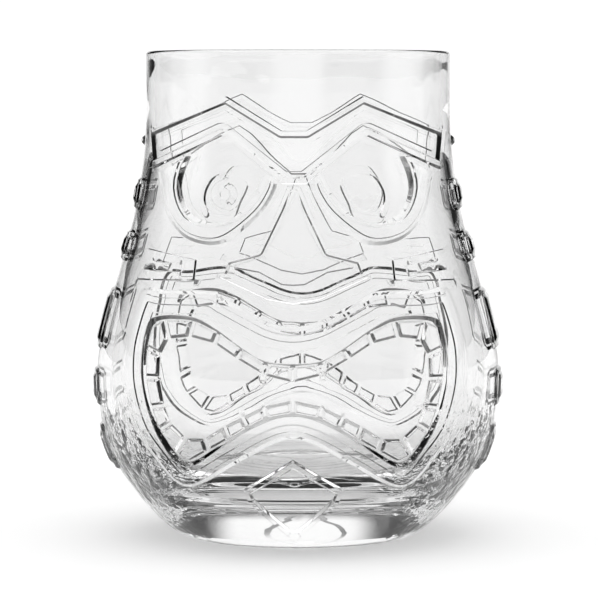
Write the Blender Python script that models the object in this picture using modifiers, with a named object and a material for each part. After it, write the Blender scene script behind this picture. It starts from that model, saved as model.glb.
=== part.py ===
"""A pressed-glass tiki tumbler: one turned vessel with a carved-style face in relief, front and back.

The glass stands on the ground plane with its axis on +Z. The front face looks along -Y, and the same face is
on the back. Down each side, where the two mould halves meet, runs a column of raised bars. The whole tumbler is
one piece of glass, so each carved feature is shaped as its own solid and then united with the vessel wall.
Sizes below are in millimetres; the model is built in metres.
"""
import math

import bmesh
import bpy
import numpy as np
from mathutils import Matrix, Vector

MM = 0.001

# Vessel: radius and height of the outer wall, from the rim down to the edge of the foot.
HEIGHT = 120.7
OUTER_WALL = [
    (37.8, HEIGHT), (37.8, 109.0), (38.0, 101.0), (38.9, 91.5), (40.9, 80.0), (44.3, 67.6), (47.8, 55.5),
    (49.9, 46.0), (50.2, 39.0), (49.6, 31.0), (48.0, 23.6), (45.2, 17.4), (41.0, 11.4), (36.2, 5.7), (32.2, 1.9),
]
FOOT_RADIUS = 28.6
FOOT_RECESS_RADIUS = 24.0
FOOT_RECESS_SLOPE = 5.5
FOOT_RECESS_DEPTH = 1.8

# Inside: wall thickness by height, and the bottom of the bowl.
WALL_THICKNESS = [(120.7, 1.9), (85.0, 2.1), (60.0, 2.9), (40.0, 3.4), (24.0, 4.6)]
FLOOR_HEIGHT = 14.0
FLOOR_FLAT_RADIUS = 24.0
FLOOR_EDGE_WIDTH = 8.0
FLOOR_EDGE_RISE = 0.9
BOWL_TURN_WIDTH = 4.0
BOWL_TURN_RISE = 4.0
RIM_ROUND = 0.5

# Faceting of the turned surfaces.
TURN_STEPS = 60
WALL_ROWS = 18
PUPIL_SIDES = 14
BEAD_SIDES = 8
MERGE_DISTANCE = 0.002

# The shells that features are cut from are turned a little, so that their facets don't line up with the wall's.
BLANK_TURN = math.radians(1.3)

# Feature outlines are pushed through the wall from just in front of the axis to well outside it.
PUSH_START = 0.1
PUSH_LENGTH = 70.0

# How far each group of features stands out from the outer wall.
SEAT_DEPTH = 0.9
BROW_HEIGHT = 1.2
EYE_HEIGHT = 1.0
NOSE_HEIGHT = 1.7
CHEEK_HEIGHT = 0.9
LIP_HEIGHT = 1.3
TOOTH_HEIGHT = 0.7
CHIN_HEIGHT = 0.9
SIDE_HEIGHT = 1.1

# Face outlines in front elevation: half width from the middle of the face, and height above the table.
BROW = [(2.8, 101.5), (16.0, 109.7), (35.8, 101.4), (35.0, 91.7), (17.0, 100.2), (2.8, 88.8)]
EYE_RING = [
    (33.0, 92.6), (32.7, 88.4), (31.7, 83.4), (29.9, 79.4), (26.2, 75.6), (20.6, 74.1), (15.6, 75.1), (9.2, 80.0),
    (5.6, 84.4), (3.6, 89.6), (6.2, 91.8), (9.8, 85.8), (14.2, 81.6), (20.0, 80.1), (24.2, 81.4), (26.2, 84.3),
    (27.0, 88.0), (26.3, 91.6), (24.9, 96.4),
]
PUPIL_CENTRE = (16.3, 86.3)
PUPIL_RADIUS = 4.2
NOSE = [(1.5, 88.6), (3.8, 83.0), (8.4, 73.2), (15.8, 71.2), (17.5, 66.8), (6.0, 61.8), (0.0, 60.8)]
CHEEK = [(23.1, 70.9), (35.6, 72.9), (38.5, 65.2), (23.6, 65.9)]
LIP_OUTER = [
    (0.0, 55.8), (4.7, 56.6), (9.6, 58.9), (15.6, 61.9), (19.8, 63.7), (31.0, 63.5), (36.8, 63.4), (40.6, 53.4),
    (41.6, 45.3), (40.8, 37.5), (38.0, 29.2), (33.4, 22.8), (28.3, 17.2), (23.2, 16.8), (14.2, 22.5), (5.8, 27.6),
    (0.0, 29.4),
]
MOUTH_OPENING = [
    (0.0, 47.3), (6.4, 47.9), (12.0, 51.0), (17.6, 54.8), (23.6, 57.5), (31.8, 57.3), (34.8, 54.6), (36.3, 45.3),
    (35.5, 38.2), (33.2, 31.0), (29.2, 24.6), (26.4, 22.2), (22.6, 22.8), (14.9, 28.4), (7.4, 33.4), (0.0, 35.0),
]
# The joints between the teeth, clockwise round half the mouth: outer end and inner end of each.
TOOTH_JOINTS = [
    ((0.0, 47.0), (0.0, 42.6)), ((6.3, 47.6), (6.7, 44.2)), ((11.6, 50.5), (13.4, 48.0)),
    ((17.4, 54.4), (18.6, 51.3)), ((23.4, 57.0), (24.6, 52.6)), ((30.8, 56.8), (29.5, 51.8)),
    ((35.4, 49.7), (31.4, 48.2)), ((35.8, 42.6), (31.6, 42.8)), ((34.4, 35.5), (30.4, 36.4)),
    ((32.2, 30.0), (28.9, 32.4)), ((28.0, 24.4), (25.2, 29.1)), ((20.0, 25.9), (20.9, 29.4)),
    ((14.9, 29.0), (16.2, 32.6)), ((10.4, 31.8), (11.9, 34.9)), ((6.2, 34.2), (6.9, 37.5)),
    ((0.0, 35.4), (0.0, 39.1)),
]
TOOTH_CORNERS = {5: (34.2, 54.9), 10: (24.5, 23.0)}
TOOTH_SCALE = 0.9
CHIN = [(0.0, 24.6), (12.0, 16.9), (10.6, 13.6), (0.0, 3.4)]

# Side bars in side elevation: lowest height, highest height and half width of each.
SIDE_BARS = [(81.5, 89.5, 9.0), (68.8, 76.5, 10.0), (47.0, 62.2, 12.0), (33.0, 42.5, 12.0), (17.0, 28.5, 11.0)]
SIDE_BAR_CORNER = 1.5
SIDE_BEAD_HEIGHT = 98.6
SIDE_BEAD_RADIUS = 1.5


def clear_objects():
    for obj in list(bpy.data.objects):
        bpy.data.objects.remove(obj, do_unlink=True)


def collection(name):
    group = bpy.data.collections.new(name)
    bpy.context.scene.collection.children.link(group)
    return group


def link_mesh(name, mesh, group):
    obj = bpy.data.objects.new(name, mesh)
    group.objects.link(obj)
    return obj


def hide_helper(obj):
    obj.hide_render = True
    obj.display_type = "WIRE"


def baked_mesh(obj):
    """The object's mesh with its modifiers and its place applied."""
    bpy.context.view_layer.update()
    evaluated = obj.evaluated_get(bpy.context.evaluated_depsgraph_get())
    mesh = bpy.data.meshes.new_from_object(evaluated)
    mesh.transform(obj.matrix_world)
    return mesh


def smooth_through(points, count):
    """A Catmull-Rom curve through the points, resampled evenly along its length."""
    ends = [2 * np.array(points[0]) - points[1], 2 * np.array(points[-1]) - points[-2]]
    knots = np.array([ends[0], *points, ends[1]], dtype=float)
    fine = []
    for p0, p1, p2, p3 in zip(knots, knots[1:], knots[2:], knots[3:]):
        for t in np.linspace(0.0, 1.0, 12, endpoint=False):
            bend = 2 * p0 - 5 * p1 + 4 * p2 - p3
            twist = 3 * p1 - p0 - 3 * p2 + p3
            fine.append(0.5 * (2 * p1 + (p2 - p0) * t + bend * t ** 2 + twist * t ** 3))
    fine.append(np.array(points[-1], dtype=float))
    fine = np.array(fine)
    length = np.concatenate([[0.0], np.cumsum(np.linalg.norm(np.diff(fine, axis=0), axis=1))])
    wanted = np.linspace(0.0, length[-1], count)
    return np.column_stack([np.interp(wanted, length, fine[:, axis]) for axis in (0, 1)])


def offset_curve(curve, distance):
    """The wall curve moved outwards along its own normal; it runs from the rim down."""
    along = np.gradient(curve, axis=0)
    normal = np.column_stack([-along[:, 1], along[:, 0]])
    normal /= np.linalg.norm(normal, axis=1)[:, None]
    return curve + normal * distance


def turned(name, profile, closed, group):
    """A solid of revolution from a profile of (radius, height) that runs down its outer side."""
    mesh = bpy.data.meshes.new(name)
    edges = [(i, i + 1) for i in range(len(profile) - 1)]
    if closed:
        edges.append((len(profile) - 1, 0))
    mesh.from_pydata([(r * MM, 0.0, z * MM) for r, z in profile], edges, [])
    obj = link_mesh(name, mesh, group)
    screw = obj.modifiers.new("turn", "SCREW")
    screw.steps = TURN_STEPS
    screw.render_steps = TURN_STEPS
    screw.use_merge_vertices = True
    screw.merge_threshold = MERGE_DISTANCE * MM
    return obj


def vessel_profile(wall):
    """From the middle of the bowl's floor up the inside, over the rim, down the outside, to the foot's middle."""
    heights, thicknesses = zip(*sorted(WALL_THICKNESS))
    inner = []
    for radius, height in wall[::2]:
        if height > WALL_THICKNESS[-1][0]:
            inner.append((radius - np.interp(height, heights, thicknesses), height))
    bowl_edge = (inner[-1][0] - BOWL_TURN_WIDTH, FLOOR_HEIGHT + BOWL_TURN_RISE)
    floor_edge = (FLOOR_FLAT_RADIUS + FLOOR_EDGE_WIDTH, FLOOR_HEIGHT + FLOOR_EDGE_RISE)
    inside = [(0.0, FLOOR_HEIGHT), (FLOOR_FLAT_RADIUS, FLOOR_HEIGHT), floor_edge, bowl_edge, *inner[:0:-1]]
    inner_rim, outer_rim = inner[0][0], wall[0][0]
    rim = [(inner_rim, HEIGHT - RIM_ROUND), (inner_rim + RIM_ROUND, HEIGHT), (outer_rim - RIM_ROUND, HEIGHT)]
    outside = [(outer_rim, HEIGHT - RIM_ROUND), *[tuple(point) for point in wall[1:]]]
    foot = [(FOOT_RADIUS, 0.0), (FOOT_RECESS_RADIUS, 0.0)]
    recess = [(FOOT_RECESS_RADIUS - FOOT_RECESS_SLOPE, FOOT_RECESS_DEPTH), (0.0, FOOT_RECESS_DEPTH)]
    return inside + rim + outside + foot + recess


def relief_blank(name, wall, height, group):
    """The shell that a feature is cut from: seated in the wall, and standing out from it by the height."""
    outer = offset_curve(wall[1:], height)
    inner = offset_curve(wall[1:], -SEAT_DEPTH)[::-1]
    blank = turned(name, [tuple(point) for point in np.vstack([outer, inner])], True, group)
    blank.rotation_euler.z = BLANK_TURN
    hide_helper(blank)
    return blank


def whole(half):
    """A closed outline from its right half, which runs from the top middle to the bottom middle."""
    left = [(-x, z) for x, z in reversed(half) if x > 0.0]
    return list(half) + left


def pair(outline):
    return [outline, [(-x, z) for x, z in outline]]


def disc(centre, radius, sides):
    angles = [2 * math.pi * i / sides for i in range(sides)]
    return [(centre[0] + radius * math.cos(a), centre[1] + radius * math.sin(a)) for a in angles]


def shrunk(outline, scale):
    middle = Vector((sum(x for x, _ in outline), sum(z for _, z in outline))) / len(outline)
    return [tuple(middle + (Vector(point) - middle) * scale) for point in outline]


def teeth_outlines():
    outlines = []
    for index, (start, end) in enumerate(zip(TOOTH_JOINTS, TOOTH_JOINTS[1:])):
        outline = [start[1], start[0], end[0], end[1]]
        if index in TOOTH_CORNERS:
            outline.insert(2, TOOTH_CORNERS[index])
        outlines += pair(shrunk(outline, TOOTH_SCALE))
    return outlines


def side_outlines():
    outlines = [disc((0.0, SIDE_BEAD_HEIGHT), SIDE_BEAD_RADIUS, BEAD_SIDES)]
    for low, high, half_width in SIDE_BARS:
        shoulder = half_width - SIDE_BAR_CORNER
        upper_corner = [(shoulder, high), (half_width, high - SIDE_BAR_CORNER)]
        lower_corner = [(half_width, low + SIDE_BAR_CORNER), (shoulder, low)]
        outlines.append(whole([(0.0, high), *upper_corner, *lower_corner, (0.0, low)]))
    return outlines


def prism(name, outlines, azimuth, group):
    """Flat outlines in elevation, extruded from the axis out through the wall at the given azimuth."""
    reach = PUSH_LENGTH * MM
    curve = bpy.data.curves.new(name, "CURVE")
    curve.dimensions = "2D"
    curve.fill_mode = "BOTH"
    curve.extrude = reach / 2
    for outline in outlines:
        spline = curve.splines.new("POLY")
        spline.points.add(len(outline) - 1)
        for point, (x, z) in zip(spline.points, outline):
            point.co = (x * MM, z * MM, 0.0, 1.0)
        spline.use_cyclic_u = True
    stand_up = Matrix.Rotation(math.pi / 2, 4, "X")
    push_out = Matrix.Translation((0.0, -reach / 2 - PUSH_START * MM, 0.0))
    source = bpy.data.objects.new(name + "_outline", curve)
    group.objects.link(source)
    source.matrix_world = Matrix.Rotation(azimuth, 4, "Z") @ push_out @ stand_up
    mesh = baked_mesh(source)
    bpy.data.objects.remove(source)
    weld(mesh)
    return link_mesh(name, mesh, group)


def weld(mesh):
    work = bmesh.new()
    work.from_mesh(mesh)
    bmesh.ops.remove_doubles(work, verts=work.verts, dist=MERGE_DISTANCE * MM)
    bmesh.ops.recalc_face_normals(work, faces=work.faces)
    work.to_mesh(mesh)
    work.free()


def boolean(obj, other, operation):
    modifier = obj.modifiers.new(operation.lower() + "_" + other.name, "BOOLEAN")
    modifier.operation = operation
    modifier.object = other
    modifier.solver = "EXACT"


def carved(name, outlines, azimuth, blank, group):
    """A relief feature: the outlines pushed through the wall, cut to the blank's two surfaces."""
    feature = prism(name, outlines, azimuth, group)
    boolean(feature, blank, "INTERSECT")
    hide_helper(feature)
    return feature


def clear_glass():
    material = bpy.data.materials.new("clear_glass")
    material.use_nodes = True
    shader = material.node_tree.nodes["Principled BSDF"]
    shader.inputs["Base Color"].default_value = (0.95, 0.96, 0.96, 1.0)
    shader.inputs["Metallic"].default_value = 0.0
    shader.inputs["Roughness"].default_value = 0.03
    shader.inputs["IOR"].default_value = 1.52
    shader.inputs["Transmission Weight"].default_value = 1.0
    return material


def build():
    clear_objects()
    glass = collection("tiki_tumbler")
    helpers = collection("relief_helpers")
    wall = smooth_through(OUTER_WALL, WALL_ROWS)

    tumbler = turned("glass_tumbler", vessel_profile(wall), False, glass)
    face = {
        "brow": (BROW_HEIGHT, [whole(BROW)]),
        "eye_rings": (EYE_HEIGHT, pair(EYE_RING)),
        "pupils": (EYE_HEIGHT, pair(disc(PUPIL_CENTRE, PUPIL_RADIUS, PUPIL_SIDES))),
        "nose": (NOSE_HEIGHT, [whole(NOSE)]),
        "cheek_bars": (CHEEK_HEIGHT, pair(CHEEK)),
        "lips": (LIP_HEIGHT, [whole(LIP_OUTER), whole(MOUTH_OPENING)]),
        "teeth": (TOOTH_HEIGHT, teeth_outlines()),
        "chin": (CHIN_HEIGHT, [whole(CHIN)]),
    }
    for name, (height, outlines) in face.items():
        blank = relief_blank(name + "_blank", wall, height, helpers)
        for side, azimuth in (("front", 0.0), ("back", math.pi)):
            boolean(tumbler, carved(f"{side}_{name}", outlines, azimuth, blank, helpers), "UNION")
    blank = relief_blank("side_blank", wall, SIDE_HEIGHT, helpers)
    for side, azimuth in (("right", math.pi / 2), ("left", -math.pi / 2)):
        boolean(tumbler, carved(f"{side}_bars", side_outlines(), azimuth, blank, helpers), "UNION")

    tumbler.data.materials.append(clear_glass())
    tumbler.data.shade_smooth()
    bpy.context.view_layer.update()


build()
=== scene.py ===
"""The looks of the pressed-glass tiki tumbler: one piece of clear glass with its relief, and the studio.

The outer surface is the turned wall plus a relief height. Each carved feature is an outline with one or
more steps inside its edge. The mesh follows the lines where the steps begin and end, so that every bevel is
crisp with few faces, and its normals come from the same height formula. The shapes are in millimetres; the
materials and the studio are in metres.
"""
import math

import bpy
import numpy as np
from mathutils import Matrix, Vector, kdtree
from mathutils.geometry import delaunay_2d_cdt


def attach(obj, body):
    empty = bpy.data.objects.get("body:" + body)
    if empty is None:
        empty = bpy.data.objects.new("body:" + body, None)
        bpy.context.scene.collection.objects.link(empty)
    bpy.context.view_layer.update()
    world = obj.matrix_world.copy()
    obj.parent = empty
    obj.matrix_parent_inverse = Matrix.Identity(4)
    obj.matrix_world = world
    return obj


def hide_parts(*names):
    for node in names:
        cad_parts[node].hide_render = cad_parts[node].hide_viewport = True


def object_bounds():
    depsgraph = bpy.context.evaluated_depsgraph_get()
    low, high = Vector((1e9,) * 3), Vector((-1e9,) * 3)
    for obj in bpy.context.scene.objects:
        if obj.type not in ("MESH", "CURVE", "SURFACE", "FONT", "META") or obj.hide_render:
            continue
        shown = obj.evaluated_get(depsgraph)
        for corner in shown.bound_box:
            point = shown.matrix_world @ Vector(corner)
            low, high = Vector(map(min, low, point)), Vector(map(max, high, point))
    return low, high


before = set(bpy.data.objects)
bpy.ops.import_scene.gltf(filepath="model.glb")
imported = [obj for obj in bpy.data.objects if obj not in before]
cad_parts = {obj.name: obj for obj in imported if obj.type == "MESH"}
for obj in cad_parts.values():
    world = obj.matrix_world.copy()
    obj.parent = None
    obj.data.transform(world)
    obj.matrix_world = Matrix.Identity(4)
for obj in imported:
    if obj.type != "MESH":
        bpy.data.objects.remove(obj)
CAD_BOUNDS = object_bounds()

# ---------------------------------------------------------------- sizes, in millimetres
MM = 0.001
HEIGHT = CAD_BOUNDS[1][2] / MM

# The vessel, turned about Z: radius and height of each point of a profile, from the rim down.
RIM_ROUND = 0.95
RIM_BASE = HEIGHT - RIM_ROUND
FOOT_RADIUS = 26.8
OUTER_WALL = [
    (37.8, RIM_BASE), (37.8, 109.0), (38.0, 101.0), (38.9, 91.5), (40.9, 80.0), (44.3, 67.6), (47.8, 55.5),
    (49.9, 46.0), (50.2, 39.0), (49.6, 31.0), (48.0, 23.6), (45.2, 17.4), (41.0, 11.4), (36.2, 5.7),
    (32.6, 2.3), (29.8, 0.6), (FOOT_RADIUS, 0.0),
]
INNER_WALL = [
    (35.9, RIM_BASE), (35.8, 104.0), (36.0, 96.0), (37.0, 88.0), (39.0, 78.0), (41.9, 66.5), (44.8, 55.0),
    (46.6, 45.0), (46.7, 38.0), (45.8, 31.0), (43.0, 24.0), (38.0, 18.6), (31.0, 15.4), (22.0, 14.2),
    (10.0, 14.0), (0.0, 14.0),
]

# The shallow recess under the foot, and the ring pattern in the floor of the bowl.
RECESS_RADIUS = 24.0
RECESS_SLOPE = 9.0
RECESS_DEPTH = 1.8
RIPPLE_RADIUS = 34.0
RIPPLE_INNER = 16.0
RIPPLE_LENGTH = 3.4
RIPPLE_HEIGHT = 0.06

# How finely curves and turned surfaces are followed. The bowl's profile is finer below BOWL_FINE_BELOW.
CURVE_STEPS = 16
WALL_SAMPLES = 880
BOWL_SAMPLES = 1200
BOWL_FINE_BELOW = 26.0
BOWL_COARSE_STRIDE = 20
BOWL_FINE_STRIDE = 4
RIM_POINTS = 15
FOOT_POINTS = 40
DISC_SIDES = 24
LOOP_POINTS_PER_CORNER = 10
LOOP_SPACING = 1.6
EYE_PLATE_SPACING = 1.0
EYE_HOOK_SPACING = 0.8
COLUMNS = 180

# How finely the relief is followed. The wall is laid out flat as if its radius were REFERENCE_RADIUS. The
# first and last contour of a step lie LEVEL_MARGIN outside it, so that the normals there are level.
REFERENCE_RADIUS = 45.0
GRID = 0.45
POINT_SPACING = 1.7
POINT_CLEARANCE = 0.45 * POINT_SPACING
LINE_SPACING = 1.1
LINE_TOLERANCE = 0.012
SAME_POINT = 1e-5
MERGE_DECIMALS = 4
NORMAL_STEP = 0.01
LEVEL_MARGIN = 1.3 * NORMAL_STEP
OUTLINE_MARGIN = 1.0

# The share of each bevel that is rounded at either end, and how soft features differ from crisp ones.
FILLET = 0.24
SOFT_RISE = 0.3
SOFT_WIDTH = 1.4

# Face outlines in front elevation: distance from the middle of the face, and height above the table.
BROW = [(2.8, 101.5), (16.0, 109.7), (35.8, 101.4), (35.0, 91.7), (17.0, 100.2), (2.8, 88.8)]
EYE_RING = [
    (33.0, 92.6), (32.9, 88.4), (31.9, 83.4), (29.9, 79.2), (26.2, 75.6), (20.6, 74.1), (15.6, 75.1),
    (9.2, 80.0), (5.6, 84.4), (3.6, 89.6), (6.2, 91.8), (9.8, 85.8), (14.2, 81.6), (20.0, 80.1),
    (24.2, 81.4), (26.2, 84.3), (27.0, 88.0), (26.3, 91.6), (24.9, 96.4),
]
NOSE_CREST = [
    (0.0, 87.8), (1.0, 87.2), (3.2, 79.0), (7.0, 72.0), (14.0, 69.6), (14.0, 69.0), (8.0, 68.0),
    (2.7, 65.2), (0.0, 65.0),
]
CHEEK_GROOVES = [
    [(24.8, 69.3), (33.0, 70.3), (36.0, 70.2), (33.0, 69.7)],
    [(25.0, 67.6), (33.0, 68.1), (36.6, 67.7), (33.0, 67.5)],
]
NOSE = [(1.5, 88.6), (3.8, 83.0), (8.4, 73.2), (15.8, 71.2), (17.5, 66.8), (6.0, 61.8), (0.0, 60.8)]
CHEEK = [(23.1, 70.9), (35.6, 72.9), (38.5, 65.2), (23.6, 65.9)]
LIP_OUTER = [
    (0.0, 55.8), (4.7, 56.6), (9.6, 58.9), (15.6, 61.9), (19.8, 63.7), (31.0, 63.5), (36.8, 63.4),
    (40.6, 53.4), (41.6, 45.3), (40.8, 37.5), (38.0, 29.2), (33.4, 22.8), (28.3, 17.2), (23.2, 16.8),
    (14.2, 22.5), (5.8, 27.6), (0.0, 29.4),
]
MOUTH_OPENING = [
    (0.0, 47.3), (6.4, 47.9), (12.0, 51.0), (17.6, 54.8), (23.6, 57.5), (31.8, 57.3), (34.8, 54.6),
    (36.3, 45.3), (35.5, 38.2), (33.2, 31.0), (29.2, 24.6), (26.4, 22.2), (22.6, 22.8), (14.9, 28.4),
    (7.4, 33.4), (0.0, 35.0),
]
# The joints between the teeth, clockwise round half the mouth: outer end and inner end of each. The teeth in
# the mouth's two corners have one more corner of their own.
TOOTH_JOINTS = [
    ((0.0, 47.0), (0.0, 42.6)), ((6.3, 47.6), (6.7, 44.2)), ((11.6, 50.5), (13.4, 48.0)),
    ((17.4, 54.4), (18.6, 51.3)), ((23.4, 57.0), (24.6, 52.6)), ((30.8, 56.8), (29.5, 51.8)),
    ((35.4, 49.7), (31.4, 48.2)), ((35.8, 42.6), (31.6, 42.8)), ((34.4, 35.5), (30.4, 36.4)),
    ((32.2, 30.0), (28.9, 32.4)), ((28.0, 24.4), (25.2, 29.1)), ((20.0, 25.9), (20.9, 29.4)),
    ((14.9, 29.0), (16.2, 32.6)), ((10.4, 31.8), (11.9, 34.9)), ((6.2, 34.2), (6.9, 37.5)),
    ((0.0, 35.4), (0.0, 39.1)),
]
TOOTH_CORNERS = {5: (34.2, 54.9), 10: (24.5, 23.0)}
CHIN = [(0.0, 24.6), (12.0, 16.9), (10.6, 13.6), (0.0, 3.4)]
PUPIL_CENTRE = (16.3, 86.3)
PUPIL_RADIUS = 4.2
EYE_PLATE = [
    (10.8, 88.6), (12.8, 90.4), (16.2, 91.3), (19.7, 90.1), (21.9, 87.4), (22.5, 85.0), (22.3, 83.1),
    (21.4, 80.9), (20.2, 79.4), (14.6, 80.0), (12.6, 84.2),
]
EYE_HOOK = [
    (17.6, 91.3), (19.7, 90.3), (21.9, 87.4), (22.5, 85.0), (22.3, 83.1), (21.4, 80.9), (20.2, 80.6),
    (19.9, 81.8), (20.8, 84.3), (20.7, 86.7), (19.4, 89.3),
]
BEAD_CENTRE = (0.0, 5.0)
BEAD_RADIUS = 1.7

# Side bars in side elevation: lowest height, highest height and half width of each.
SIDE_BARS = [
    (81.5, 89.5, 9.0), (68.8, 76.5, 10.0), (47.0, 62.2, 12.0), (33.0, 42.5, 12.0), (17.0, 28.5, 11.0),
]
SIDE_BAR_CORNER = 1.5
SIDE_BEAD_CENTRE = (0.0, 98.6)
SIDE_BEAD_RADIUS = 1.5

# The steps of each feature: distance inside its outline, width, and rise (negative where it falls).
EYE_RING_STEPS = [(0.0, 1.3, 0.6), (1.6, 0.25, 0.3)]
EYE_PLATE_STEPS = [(0.0, 0.3, 0.45)]
EYE_HOOK_STEPS = [(0.0, 0.35, 0.9)]
PUPIL_STEPS = [(0.0, 0.35, 0.5), (0.6, 2.5, 0.25)]
BROW_STEPS = [(0.0, 0.25, 1.1), (1.2, 0.7, -0.6), (2.9, 0.2, 0.3)]
NOSE_STEPS = [(0.0, 0.3, 0.9), (1.0, 0.5, -0.4)]
NOSE_CREST_STEPS = [(0.0, 0.35, 0.9)]
CHEEK_STEPS = [(0.0, 0.3, 0.5)]
CHEEK_GROOVE_STEPS = [(0.0, 0.25, 0.1)]
LIP_STEPS = [(0.0, 1.3, 0.65), (2.0, 0.3, 0.5), (3.6, 0.25, -0.2), (5.6, 0.25, -0.1)]
MOUTH_OPENING_STEPS = [(0.0, 1.1, 0.0)]
TOOTH_STEPS = [(0.25, 0.8, 0.75)]
CHIN_STEPS = [(0.0, 0.35, 1.1), (1.2, 0.7, -0.5)]
BEAD_STEPS = [(0.0, 0.6, 0.9)]
SIDE_BAR_STEPS = [(0.0, 0.8, 0.7), (1.2, 1.6, 0.5)]
SIDE_BEAD_STEPS = [(0.0, 1.0, 0.9)]


# ---------------------------------------------------------------- curves and outlines
def smooth_through(points, count):
    """A Catmull-Rom curve through the points, resampled evenly along its length."""
    ends = [2 * np.array(points[0]) - points[1], 2 * np.array(points[-1]) - points[-2]]
    knots = np.array([ends[0], *points, ends[1]], dtype=float)
    fine = []
    for p0, p1, p2, p3 in zip(knots, knots[1:], knots[2:], knots[3:]):
        for t in np.linspace(0.0, 1.0, CURVE_STEPS, endpoint=False):
            bend = 2 * p0 - 5 * p1 + 4 * p2 - p3
            twist = 3 * p1 - p0 - 3 * p2 + p3
            fine.append(0.5 * (2 * p1 + (p2 - p0) * t + bend * t ** 2 + twist * t ** 3))
    fine.append(np.array(points[-1], dtype=float))
    fine = np.array(fine)
    length = np.concatenate([[0.0], np.cumsum(np.linalg.norm(np.diff(fine, axis=0), axis=1))])
    wanted = np.linspace(0.0, length[-1], count)
    return np.column_stack([np.interp(wanted, length, fine[:, axis]) for axis in (0, 1)])


def smooth_loop(corners, spacing=LOOP_SPACING):
    """A closed smooth outline through the corners: one turn of a curve that overlaps itself at both ends."""
    around = np.array(corners[-2:] + corners + corners[:2], dtype=float)
    length = np.linalg.norm(np.diff(np.array(corners + corners[:1]), axis=0), axis=1).sum()
    curve = smooth_through(around, LOOP_POINTS_PER_CORNER * len(around))
    from_start = np.linalg.norm(curve - corners[0], axis=1)
    first = from_start[:len(curve) // 2].argmin()
    search_from = first + LOOP_POINTS_PER_CORNER // 2
    last = search_from + from_start[search_from:].argmin()
    curve = curve[first:last]
    step = max(1, round(len(curve) * spacing / length))
    return [tuple(point) for point in curve[::step]]


def whole(half):
    """A closed outline from its right half, which runs from the top middle to the bottom middle."""
    left = [(-x, z) for x, z in reversed(half) if x > 0.0]
    return list(half) + left


def disc(centre, radius):
    """A round outline."""
    angles = [2 * math.pi * i / DISC_SIDES for i in range(DISC_SIDES)]
    return [(centre[0] + radius * math.cos(a), centre[1] + radius * math.sin(a)) for a in angles]


def inside_distance(outline, x, z):
    """The distance from each point to the outline: positive inside it, negative outside."""
    corners = np.array(outline, dtype=float)
    nearest = np.full(x.shape, np.inf)
    inside = np.zeros(x.shape, dtype=bool)
    for (ax, az), (bx, bz) in zip(corners, np.roll(corners, -1, axis=0)):
        ex, ez = bx - ax, bz - az
        t = np.clip(((x - ax) * ex + (z - az) * ez) / (ex * ex + ez * ez), 0.0, 1.0)
        nearest = np.minimum(nearest, (x - ax - t * ex) ** 2 + (z - az - t * ez) ** 2)
        crosses = (az > z) != (bz > z)
        if ez != 0.0:
            inside ^= crosses & (x < ax + (z - az) * ex / ez)
    return np.where(inside, 1.0, -1.0) * np.sqrt(nearest)


def ramp(t):
    """From 0 to 1, straight in the middle, with a rounded start and end."""
    t = np.clip(t, 0.0, 1.0)
    slope = 1.0 / (1.0 - FILLET)
    low = 0.5 * slope * t ** 2 / FILLET
    high = 1.0 - 0.5 * slope * (1.0 - t) ** 2 / FILLET
    return np.where(t < FILLET, low, np.where(t > 1.0 - FILLET, high, slope * (t - FILLET / 2)))


# ---------------------------------------------------------------- the relief
class Feature:
    """A shape laid over the wall. Its outline is in front elevation, or in side elevation."""

    def __init__(self, outline, steps, plane="front"):
        self.outline = outline
        self.steps = steps
        self.plane = plane
        corners = np.array(outline)
        self.low = corners.min(axis=0) - OUTLINE_MARGIN
        self.high = corners.max(axis=0) + OUTLINE_MARGIN

    def softened(self):
        """The same shape, lower and with gentler slopes."""
        steps = [(start, width * SOFT_WIDTH, rise * SOFT_RISE) for start, width, rise in self.steps]
        return Feature(self.outline, steps, self.plane)

    def distance(self, x, y, z):
        """The distance inside the outline, or minus the margin well outside it."""
        across = x if self.plane == "front" else y
        found = np.full(across.shape, -OUTLINE_MARGIN)
        near = (across > self.low[0]) & (across < self.high[0]) & (z > self.low[1]) & (z < self.high[1])
        if near.any():
            found[near] = inside_distance(self.outline, across[near], z[near])
        return found

    def over(self, height, distance):
        """The height field with this feature laid over what is under it."""
        start, width, _ = self.steps[0]
        cover = ramp((distance - start) / width)
        own = sum(rise * ramp((distance - start) / width) for start, width, rise in self.steps)
        return height * (1.0 - cover) + own

    def levels(self):
        """The distances where each step begins and ends, and where its slope meets its rounded parts."""
        for start, width, _ in self.steps:
            inner_fillet, outer_fillet = start + FILLET * width, start + (1.0 - FILLET) * width
            yield from (start - LEVEL_MARGIN, inner_fillet, outer_fillet, start + width + LEVEL_MARGIN)


def teeth():
    """The teeth on one half of the mouth; the mesh is mirrored."""
    features = []
    for index, (start, end) in enumerate(zip(TOOTH_JOINTS, TOOTH_JOINTS[1:])):
        outline = [start[1], start[0], end[0], end[1]]
        if index in TOOTH_CORNERS:
            outline.insert(2, TOOTH_CORNERS[index])
        features.append(Feature(outline, TOOTH_STEPS))
    return features


def side_bars():
    """The bars down the side of the tumbler, and the bead above them."""
    features = [Feature(disc(SIDE_BEAD_CENTRE, SIDE_BEAD_RADIUS), SIDE_BEAD_STEPS, "side")]
    for low, high, half_width in SIDE_BARS:
        shoulder = half_width - SIDE_BAR_CORNER
        outline = whole([
            (0.0, high), (shoulder, high), (half_width, high - SIDE_BAR_CORNER),
            (half_width, low + SIDE_BAR_CORNER), (shoulder, low), (0.0, low),
        ])
        features.append(Feature(outline, SIDE_BAR_STEPS, "side"))
    return features


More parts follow.
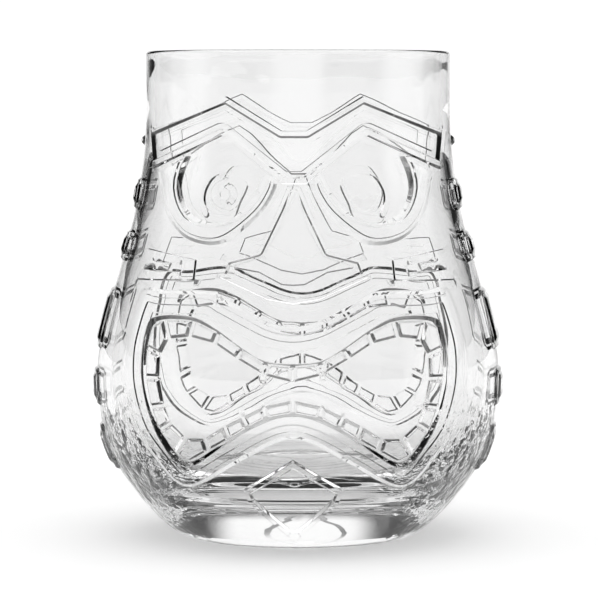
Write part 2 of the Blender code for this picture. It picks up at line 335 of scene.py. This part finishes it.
def upper_face():
    """Brow, eyes, nose and cheeks."""
    return [
        Feature(smooth_loop(EYE_RING), EYE_RING_STEPS),
        Feature(smooth_loop(EYE_PLATE, EYE_PLATE_SPACING), EYE_PLATE_STEPS),
        Feature(smooth_loop(EYE_HOOK, EYE_HOOK_SPACING), EYE_HOOK_STEPS),
        Feature(disc(PUPIL_CENTRE, PUPIL_RADIUS), PUPIL_STEPS),
        Feature(whole(BROW), BROW_STEPS),
        Feature(whole(NOSE), NOSE_STEPS),
        Feature(whole(NOSE_CREST), NOSE_CREST_STEPS),
        Feature(CHEEK, CHEEK_STEPS),
        *[Feature(groove, CHEEK_GROOVE_STEPS) for groove in CHEEK_GROOVES],
    ]


def mouth():
    """Lips and teeth."""
    return [
        Feature(smooth_loop(whole(LIP_OUTER)), LIP_STEPS),
        Feature(smooth_loop(whole(MOUTH_OPENING)), MOUTH_OPENING_STEPS),
        *teeth(),
    ]


def chin():
    """The diamond on the chin, and the bead under it."""
    return [
        Feature(whole(CHIN), CHIN_STEPS),
        Feature(disc(BEAD_CENTRE, BEAD_RADIUS), BEAD_STEPS),
    ]


FRONT_FEATURES = upper_face() + mouth() + chin() + side_bars()
BACK_FEATURES = [
    *[feature.softened() for feature in upper_face()],
    *mouth(),
    *[feature.softened().softened() for feature in chin()],
    *side_bars(),
]


def relief_height(features, x, y, z):
    """How far the relief stands out from the wall."""
    height = np.zeros(x.shape)
    for feature in features:
        height = feature.over(height, feature.distance(x, y, z))
    return height


# ---------------------------------------------------------------- the outer surface, one quarter at a time
WALL = smooth_through(OUTER_WALL, WALL_SAMPLES)
WALL_LENGTH = np.concatenate([[0.0], np.cumsum(np.linalg.norm(np.diff(WALL, axis=0), axis=1))])
WALL_TOTAL = WALL_LENGTH[-1]
WALL_SLOPE = np.gradient(WALL, WALL_LENGTH, axis=0)


def wall_point(down):
    """Radius, height and outward normal (radial, vertical) at a distance down the wall from the rim."""
    radius, height = (np.interp(down, WALL_LENGTH, WALL[:, axis]) for axis in (0, 1))
    slope_r, slope_z = (np.interp(down, WALL_LENGTH, WALL_SLOPE[:, axis]) for axis in (0, 1))
    size = np.hypot(slope_r, slope_z)
    return radius, height, -slope_z / size, slope_r / size


def outer_point(features, turn, down):
    """A point of the outer surface: turn is the angle from the front, towards +X."""
    radius, z, normal_r, normal_z = wall_point(down)
    x, y = radius * np.sin(turn), radius * np.cos(turn)
    height = relief_height(features, x, y, z)
    reach = radius + height * normal_r
    return np.column_stack([reach * np.sin(turn), -reach * np.cos(turn), z + height * normal_z])


def outer_normal(features, turn, down):
    """The outward normal there, from the points close by on both sides."""
    step = NORMAL_STEP / REFERENCE_RADIUS
    across = outer_point(features, turn + step, down) - outer_point(features, turn - step, down)
    low = np.clip(down + NORMAL_STEP, 0.0, WALL_TOTAL)
    high = np.clip(down - NORMAL_STEP, 0.0, WALL_TOTAL)
    along = outer_point(features, turn, low) - outer_point(features, turn, high)
    normal = np.cross(along, across)
    return normal / np.linalg.norm(normal, axis=1)[:, None]


def contour_lines(field, level):
    """Lines on the grid where the field crosses the level, each as grid coordinates."""
    above = field > level
    links = {}
    mixed = np.argwhere(
        (above[:-1, :-1] != above[1:, :-1]) | (above[:-1, :-1] != above[:-1, 1:])
        | (above[1:, 1:] != above[1:, :-1]) | (above[1:, 1:] != above[:-1, 1:])
    )
    for i, j in mixed:
        ring = [(i, j), (i + 1, j), (i + 1, j + 1), (i, j + 1)]
        sides = zip(ring, ring[1:] + ring[:1])
        cuts = [(min(p, q), max(p, q)) for p, q in sides if above[p] != above[q]]
        for start, end in zip(cuts[::2], cuts[1::2]):
            links.setdefault(start, []).append(end)
            links.setdefault(end, []).append(start)

    def place(cut):
        p, q = cut
        share = (level - field[p]) / (field[q] - field[p])
        return (p[0] + share * (q[0] - p[0]), p[1] + share * (q[1] - p[1]))

    lines = []
    ends = [cut for cut, others in links.items() if len(others) == 1]
    for first in ends + list(links):
        if not links.get(first):
            continue
        line, here = [first], first
        while links.get(here):
            after = links[here].pop()
            links[after].remove(here)
            line.append(after)
            here = after
        lines.append(np.array([place(cut) for cut in line]))
    return lines


def thinned(line):
    """The line with the points that its shape needs, and none further apart than the line spacing."""
    keep = {0, len(line) - 1}
    if np.allclose(line[0], line[-1]):
        keep.add(len(line) // 2)
    spans = list(zip(sorted(keep), sorted(keep)[1:]))
    while spans:
        a, b = spans.pop()
        if b - a < 2:
            continue
        chord = line[b] - line[a]
        size = np.hypot(*chord)
        offset = line[a + 1:b] - line[a]
        if size > 0.0:
            away = np.abs(offset[:, 0] * chord[1] - offset[:, 1] * chord[0]) / size
        else:
            away = np.hypot(offset[:, 0], offset[:, 1])
        worst = int(away.argmax())
        if away[worst] > LINE_TOLERANCE or size > LINE_SPACING:
            split = a + 1 + worst if away[worst] > LINE_TOLERANCE else (a + b) // 2
            keep.add(split)
            spans += [(a, split), (split, b)]
    return line[sorted(keep)]


def quarter_mesh(features):
    """Points (across, down) and triangles of the quarter from the middle of a face to the side."""
    width = REFERENCE_RADIUS * math.pi / 2
    across_count = round(width / GRID) + 1
    down_count = round(WALL_TOTAL / GRID) + 1
    across_step, down_step = width / (across_count - 1), WALL_TOTAL / (down_count - 1)
    across, down = np.indices((across_count, down_count))
    across, down = across * across_step, down * down_step
    radius, z, _, _ = wall_point(down)
    turn = across / REFERENCE_RADIUS
    x, y = radius * np.sin(turn), radius * np.cos(turn)
    points, edges = [], []

    def add_line(line):
        start = len(points)
        points.extend(map(tuple, line))
        edges.extend((start + i, start + i + 1) for i in range(len(line) - 1))

    for feature in features:
        field = feature.distance(x, y, z)
        for level in feature.levels():
            for line in contour_lines(field, level):
                add_line(thinned(line * (across_step, down_step)))
    line_points = np.array(points)
    columns = np.linspace(0.0, width, COLUMNS // 4 + 1)
    rows = np.linspace(0.0, WALL_TOTAL, round(WALL_TOTAL / POINT_SPACING) + 1)
    for edge_row in (rows[0], rows[-1]):
        add_line(np.column_stack([columns, np.full(columns.shape, edge_row)]))
    for edge_column in (columns[0], columns[-1]):
        add_line(np.column_stack([np.full(rows.shape, edge_column), rows]))
    near = kdtree.KDTree(len(line_points))
    for index, (a, b) in enumerate(line_points):
        near.insert((a, b, 0.0), index)
    near.balance()
    half = (columns[1] - columns[0]) / 2
    for row_index, row in enumerate(rows[1:-1]):
        for column in columns[1:-1] + (half if row_index % 2 else 0.0):
            if column < width - half / 2 and near.find((column, row, 0.0))[2] > POINT_CLEARANCE:
                points.append((column, row))
    found = delaunay_2d_cdt([Vector(p) for p in points], edges, [], 0, SAME_POINT)
    flat = np.array([tuple(p) for p in found[0]])
    flat[:, 0] = np.clip(flat[:, 0], 0.0, width)
    flat[:, 1] = np.clip(flat[:, 1], 0.0, WALL_TOTAL)
    return flat, np.array([face for face in found[2] if len(face) == 3])


def turned_strip(profile, facing):
    """Points, normals and faces of a turned surface that runs to the axis; facing -1 turns it inside out."""
    profile = np.array(profile, dtype=float)
    slope = np.gradient(profile, axis=0)
    slope /= np.linalg.norm(slope, axis=1)[:, None]
    turns = np.arange(COLUMNS) * 2 * math.pi / COLUMNS
    across, along = np.sin(turns), -np.cos(turns)
    points, normals, faces = [], [], []
    for (radius, z), (slope_r, slope_z) in zip(profile[:-1], slope[:-1]):
        points.append(np.column_stack([radius * across, radius * along, np.full(COLUMNS, z)]))
        out = -slope_z * facing
        normals.append(np.column_stack([out * across, out * along, np.full(COLUMNS, slope_r * facing)]))
    points.append(np.array([(0.0, 0.0, profile[-1][1])]))
    normals.append(np.array([(0.0, 0.0, slope[-1][0] * facing)]))
    after = (np.arange(COLUMNS) + 1) % COLUMNS
    first = np.arange(COLUMNS)
    for row in range(len(profile) - 2):
        upper, lower = row * COLUMNS, (row + 1) * COLUMNS
        faces.append(np.column_stack([upper + first, lower + first, lower + after]))
        faces.append(np.column_stack([upper + first, lower + after, upper + after]))
    last = (len(profile) - 2) * COLUMNS
    faces.append(np.column_stack([last + first, np.full(COLUMNS, last + COLUMNS), last + after]))
    faces = np.vstack(faces)
    return np.vstack(points), np.vstack(normals), faces if facing > 0 else faces[:, ::-1]


def bowl_floor_ripple(radii):
    """The height of a faint ring pattern in the floor of the bowl."""
    outer_fade = np.clip((RIPPLE_RADIUS - radii) / RIPPLE_LENGTH, 0.0, 1.0)
    inner_fade = np.clip((radii - RIPPLE_INNER) / RIPPLE_LENGTH, 0.0, 1.0)
    return RIPPLE_HEIGHT * (outer_fade * inner_fade) * np.sin(2 * math.pi * radii / RIPPLE_LENGTH)


def rim_and_bowl():
    """From the outer wall over the fire-polished rim, down the inside, to the middle of the floor."""
    middle = (OUTER_WALL[0][0] + INNER_WALL[0][0]) / 2
    half = (OUTER_WALL[0][0] - INNER_WALL[0][0]) / 2
    angles = np.linspace(0.0, math.pi, RIM_POINTS)
    rim = [(middle + half * math.cos(a), RIM_BASE + RIM_ROUND * math.sin(a)) for a in angles]
    bowl = smooth_through(INNER_WALL, BOWL_SAMPLES)
    bowl[:, 1] += bowl_floor_ripple(bowl[:, 0])
    coarse = bowl[:, 1] > BOWL_FINE_BELOW
    return np.vstack([rim[:-1], bowl[coarse][::BOWL_COARSE_STRIDE], bowl[~coarse][::BOWL_FINE_STRIDE]])


def foot_profile():
    """From the edge of the foot, over its flat ring, to the middle of the recess."""
    radii = np.linspace(FOOT_RADIUS, 0.0, FOOT_POINTS)
    return np.column_stack([radii, RECESS_DEPTH * ramp((RECESS_RADIUS - radii) / RECESS_SLOPE)])


def glass_mesh():
    """One closed surface: the outer wall with its relief, the rim, the bowl and the foot."""
    parts = []
    for features, facing in ((FRONT_FEATURES, 1), (BACK_FEATURES, -1)):
        flat, quarter = quarter_mesh(features)
        turn, down = flat[:, 0] / REFERENCE_RADIUS, flat[:, 1]
        wall, wall_normals = outer_point(features, turn, down), outer_normal(features, turn, down)
        for hand in (1, -1):
            side = (hand, facing, 1)
            parts.append((wall * side, wall_normals * side, quarter[:, ::-1] if hand == facing else quarter))
    parts.append(turned_strip(rim_and_bowl(), -1))
    parts.append(turned_strip(foot_profile(), 1))
    points, normals = np.vstack([p[0] for p in parts]), np.vstack([p[1] for p in parts])
    starts = np.cumsum([0] + [len(p[0]) for p in parts[:-1]])
    faces = np.vstack([p[2] + start for p, start in zip(parts, starts)])

    rounded = np.round(points, MERGE_DECIMALS)
    _, kept, merged = np.unique(rounded, axis=0, return_index=True, return_inverse=True)
    points, normals, faces = points[kept], normals[kept], merged.reshape(-1)[faces]
    whole_faces = (faces[:, 0] != faces[:, 1]) & (faces[:, 1] != faces[:, 2]) & (faces[:, 2] != faces[:, 0])
    faces = faces[whole_faces]
    corners = points[faces]
    direction = np.cross(corners[:, 1] - corners[:, 0], corners[:, 2] - corners[:, 0])
    inward = np.einsum("ij,ij->i", direction, normals[faces].sum(axis=1)) < 0
    faces[inward] = faces[inward][:, ::-1]

    mesh = bpy.data.meshes.new("tumbler_glass")
    mesh.from_pydata((points * MM).tolist(), [], faces.tolist())
    mesh.shade_smooth()
    mesh.normals_split_custom_set_from_vertices(normals.tolist())
    return mesh


# ---------------------------------------------------------------- materials
GLASS_COLOUR = (0.93, 0.93, 0.93, 1.0)
GLASS_IOR = 1.5
WAVE_SCALE = 60.0
WAVE_DETAIL = 1.0
WAVE_STRENGTH = 0.3
WAVE_DEPTH = 0.0004

# The glass is stippled low down on both sides. The stipple grows with the distance from the middle plane,
# less a share of the height, and fades away higher up.
STIPPLE_FROM_X, STIPPLE_FULL_X = 0.018, 0.028
STIPPLE_LEAN = 0.5
STIPPLE_FULL_Z, STIPPLE_FROM_Z = 0.028, 0.036
STIPPLE_SCALE = 320.0
STIPPLE_DETAIL = 2.0
STIPPLE_STRENGTH = 1.0
STIPPLE_DEPTH = 0.0006

FLOOR_COLOUR = (0.9, 0.9, 0.9, 1.0)
FLOOR_ROUGHNESS = 0.6
FLOOR_GLOW = 0.3


def new_material(name):
    """A new material and its Principled BSDF."""
    material = bpy.data.materials.new(name)
    material.use_nodes = True
    return material, material.node_tree.nodes["Principled BSDF"]


def math_node(nodes, links, operation, *inputs):
    """The result of a sum on numbers or other nodes' outputs."""
    node = nodes.new("ShaderNodeMath")
    node.operation = operation
    for slot, value in zip(node.inputs, inputs):
        if isinstance(value, (int, float)):
            slot.default_value = value
        else:
            links.new(value, slot)
    return node.outputs[0]


def range_node(nodes, links, value, low, high, to_low=0.0, to_high=1.0):
    """A smooth change from one level to another as the value goes from low to high."""
    node = nodes.new("ShaderNodeMapRange")
    node.interpolation_type = "SMOOTHSTEP"
    for name, number in (("From Min", low), ("From Max", high), ("To Min", to_low), ("To Max", to_high)):
        node.inputs[name].default_value = number
    links.new(value, node.inputs["Value"])
    return node.outputs["Result"]


def noise_node(nodes, links, place, scale, detail):
    """Noise in the object's own coordinates."""
    noise = nodes.new("ShaderNodeTexNoise")
    noise.inputs["Scale"].default_value = scale
    noise.inputs["Detail"].default_value = detail
    links.new(place.outputs["Object"], noise.inputs["Vector"])
    return noise.outputs["Fac"]


def bump_node(nodes, links, height, strength, depth):
    bump = nodes.new("ShaderNodeBump")
    bump.inputs["Strength"].default_value = strength
    bump.inputs["Distance"].default_value = depth
    links.new(height, bump.inputs["Height"])
    return bump


def clear_glass():
    """Clear glass with a slight grey, a faint waviness all over and the stippled patches."""
    material, shader = new_material("clear_glass")
    shader.inputs["Base Color"].default_value = GLASS_COLOUR
    shader.inputs["Roughness"].default_value = 0.0
    shader.inputs["IOR"].default_value = GLASS_IOR
    shader.inputs["Transmission Weight"].default_value = 1.0
    nodes, links = material.node_tree.nodes, material.node_tree.links
    place = nodes.new("ShaderNodeTexCoord")
    waves = noise_node(nodes, links, place, WAVE_SCALE, WAVE_DETAIL)
    wavy = bump_node(nodes, links, waves, WAVE_STRENGTH, WAVE_DEPTH)
    split = nodes.new("ShaderNodeSeparateXYZ")
    links.new(place.outputs["Object"], split.inputs[0])
    sideways = math_node(nodes, links, "ABSOLUTE", split.outputs["X"])
    lean = math_node(nodes, links, "MULTIPLY", split.outputs["Z"], STIPPLE_LEAN)
    outwards = math_node(nodes, links, "SUBTRACT", sideways, lean)
    at_side = range_node(nodes, links, outwards, STIPPLE_FROM_X, STIPPLE_FULL_X)
    low_down = range_node(nodes, links, split.outputs["Z"], STIPPLE_FULL_Z, STIPPLE_FROM_Z, 1.0, 0.0)
    patch = math_node(nodes, links, "MULTIPLY", at_side, low_down)
    grain = noise_node(nodes, links, place, STIPPLE_SCALE, STIPPLE_DETAIL)
    stipple_height = math_node(nodes, links, "MULTIPLY", grain, patch)
    stippled = bump_node(nodes, links, stipple_height, STIPPLE_STRENGTH, STIPPLE_DEPTH)
    links.new(wavy.outputs["Normal"], stippled.inputs["Normal"])
    links.new(stippled.outputs["Normal"], shader.inputs["Normal"])
    return material


def studio_floor():
    """Matt white, glowing a little so that it is about as bright as the screens."""
    material, shader = new_material("studio_floor")
    shader.inputs["Base Color"].default_value = FLOOR_COLOUR
    shader.inputs["Roughness"].default_value = FLOOR_ROUGHNESS
    shader.inputs["Specular IOR Level"].default_value = 0.0
    shader.inputs["Emission Color"].default_value = (1.0, 1.0, 1.0, 1.0)
    shader.inputs["Emission Strength"].default_value = FLOOR_GLOW
    return material


# ---------------------------------------------------------------- the studio
FLOOR_SIZE = 60.0
FLOOR_GAP = 0.0001
CAMERA_DISTANCE = 0.723
CAMERA_HEIGHT = 0.1118
CAMERA_TURN = math.radians(1.4)
CAMERA_TILT = math.radians(4.21)
CAMERA_PAN = math.radians(0.04)
CAMERA_REACH = 20.0
VIEW_ANGLE = math.radians(11.84)

# How many screens there are, and the cosine (of the azimuth times that) at which their light starts to fall
# and is gone. Above SCREEN_TOP they are dim, and from CEILING_EDGE up is the ceiling. DARK_LEVEL is added
# everywhere.
SCREENS = 4
DARK_FROM, DARK_TO = 0.6, -0.15
DARK_LEVEL = 0.02
BAND_LEVEL = 0.2
SCREEN_TOP = math.radians(13.0)
CEILING_EDGE = math.radians(42.0)
EDGE_BLUR = math.radians(3.0)
SCREEN_LEVEL = 1.03
TOP_LEVEL = 1.35
BACKGROUND_LEVEL = 1.05


def add_floor():
    """The floor lies just under the foot, so that the two surfaces don't coincide."""
    bpy.ops.mesh.primitive_plane_add(size=FLOOR_SIZE, location=(0.0, 0.0, -FLOOR_GAP))
    floor = bpy.context.object
    floor.name = "studio_floor"
    floor.data.materials.append(studio_floor())


def add_camera():
    """A camera in front of the tumbler and a little to its side, at about the height of the rim."""
    data = bpy.data.cameras.new("camera")
    data.angle = VIEW_ANGLE
    data.clip_end = CAMERA_REACH
    camera = bpy.data.objects.new("camera", data)
    bpy.context.scene.collection.objects.link(camera)
    aside, back = CAMERA_DISTANCE * math.sin(CAMERA_TURN), CAMERA_DISTANCE * math.cos(CAMERA_TURN)
    camera.location = (aside, -back, CAMERA_HEIGHT)
    camera.rotation_euler = (math.pi / 2 - CAMERA_TILT, 0.0, CAMERA_TURN - CAMERA_PAN)
    bpy.context.scene.camera = camera


def add_world():
    """White screens around the tumbler with dark gaps between them, under a white ceiling.

    The camera sees a plain white background instead, and the glass shows the screens.
    """
    world = bpy.data.worlds.new("studio")
    bpy.context.scene.world = world
    world.use_nodes = True
    nodes, links = world.node_tree.nodes, world.node_tree.links
    nodes.clear()
    place = nodes.new("ShaderNodeTexCoord")
    split = nodes.new("ShaderNodeSeparateXYZ")
    links.new(place.outputs["Generated"], split.inputs[0])
    azimuth = math_node(nodes, links, "ARCTAN2", split.outputs["Y"], split.outputs["X"])
    wave = math_node(nodes, links, "COSINE", math_node(nodes, links, "MULTIPLY", azimuth, float(SCREENS)))
    screen = range_node(nodes, links, wave, DARK_TO, DARK_FROM, 0.0, SCREEN_LEVEL)
    elevation = math_node(nodes, links, "ARCSINE", split.outputs["Z"])
    screen_end = (SCREEN_TOP - EDGE_BLUR, SCREEN_TOP + EDGE_BLUR)
    dimming = range_node(nodes, links, elevation, *screen_end, 1.0, BAND_LEVEL)
    ceiling_start = (CEILING_EDGE - EDGE_BLUR, CEILING_EDGE + EDGE_BLUR)
    ceiling = range_node(nodes, links, elevation, *ceiling_start, 0.0, TOP_LEVEL)
    lit = math_node(nodes, links, "MULTIPLY", screen, dimming)
    total = math_node(nodes, links, "ADD", math_node(nodes, links, "ADD", lit, ceiling), DARK_LEVEL)
    path = nodes.new("ShaderNodeLightPath")
    seen = nodes.new("ShaderNodeMix")
    links.new(path.outputs["Is Camera Ray"], seen.inputs["Factor"])
    links.new(total, seen.inputs["A"])
    seen.inputs["B"].default_value = BACKGROUND_LEVEL
    background = nodes.new("ShaderNodeBackground")
    background.inputs["Color"].default_value = (1.0, 1.0, 1.0, 1.0)
    links.new(seen.outputs["Result"], background.inputs["Strength"])
    output = nodes.new("ShaderNodeOutputWorld")
    links.new(background.outputs[0], output.inputs["Surface"])


def add_tumbler():
    """The glass, in place of the CAD node's plain solid."""
    tumbler = bpy.data.objects.new("tumbler_glass", glass_mesh())
    bpy.context.scene.collection.objects.link(tumbler)
    tumbler.data.materials.append(clear_glass())
    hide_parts("glass_tumbler")
    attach(tumbler, "root")


add_tumbler()
add_floor()
add_camera()
add_world()
bpy.context.scene.view_settings.view_transform = "Standard"

bpy.context.view_layer.update()
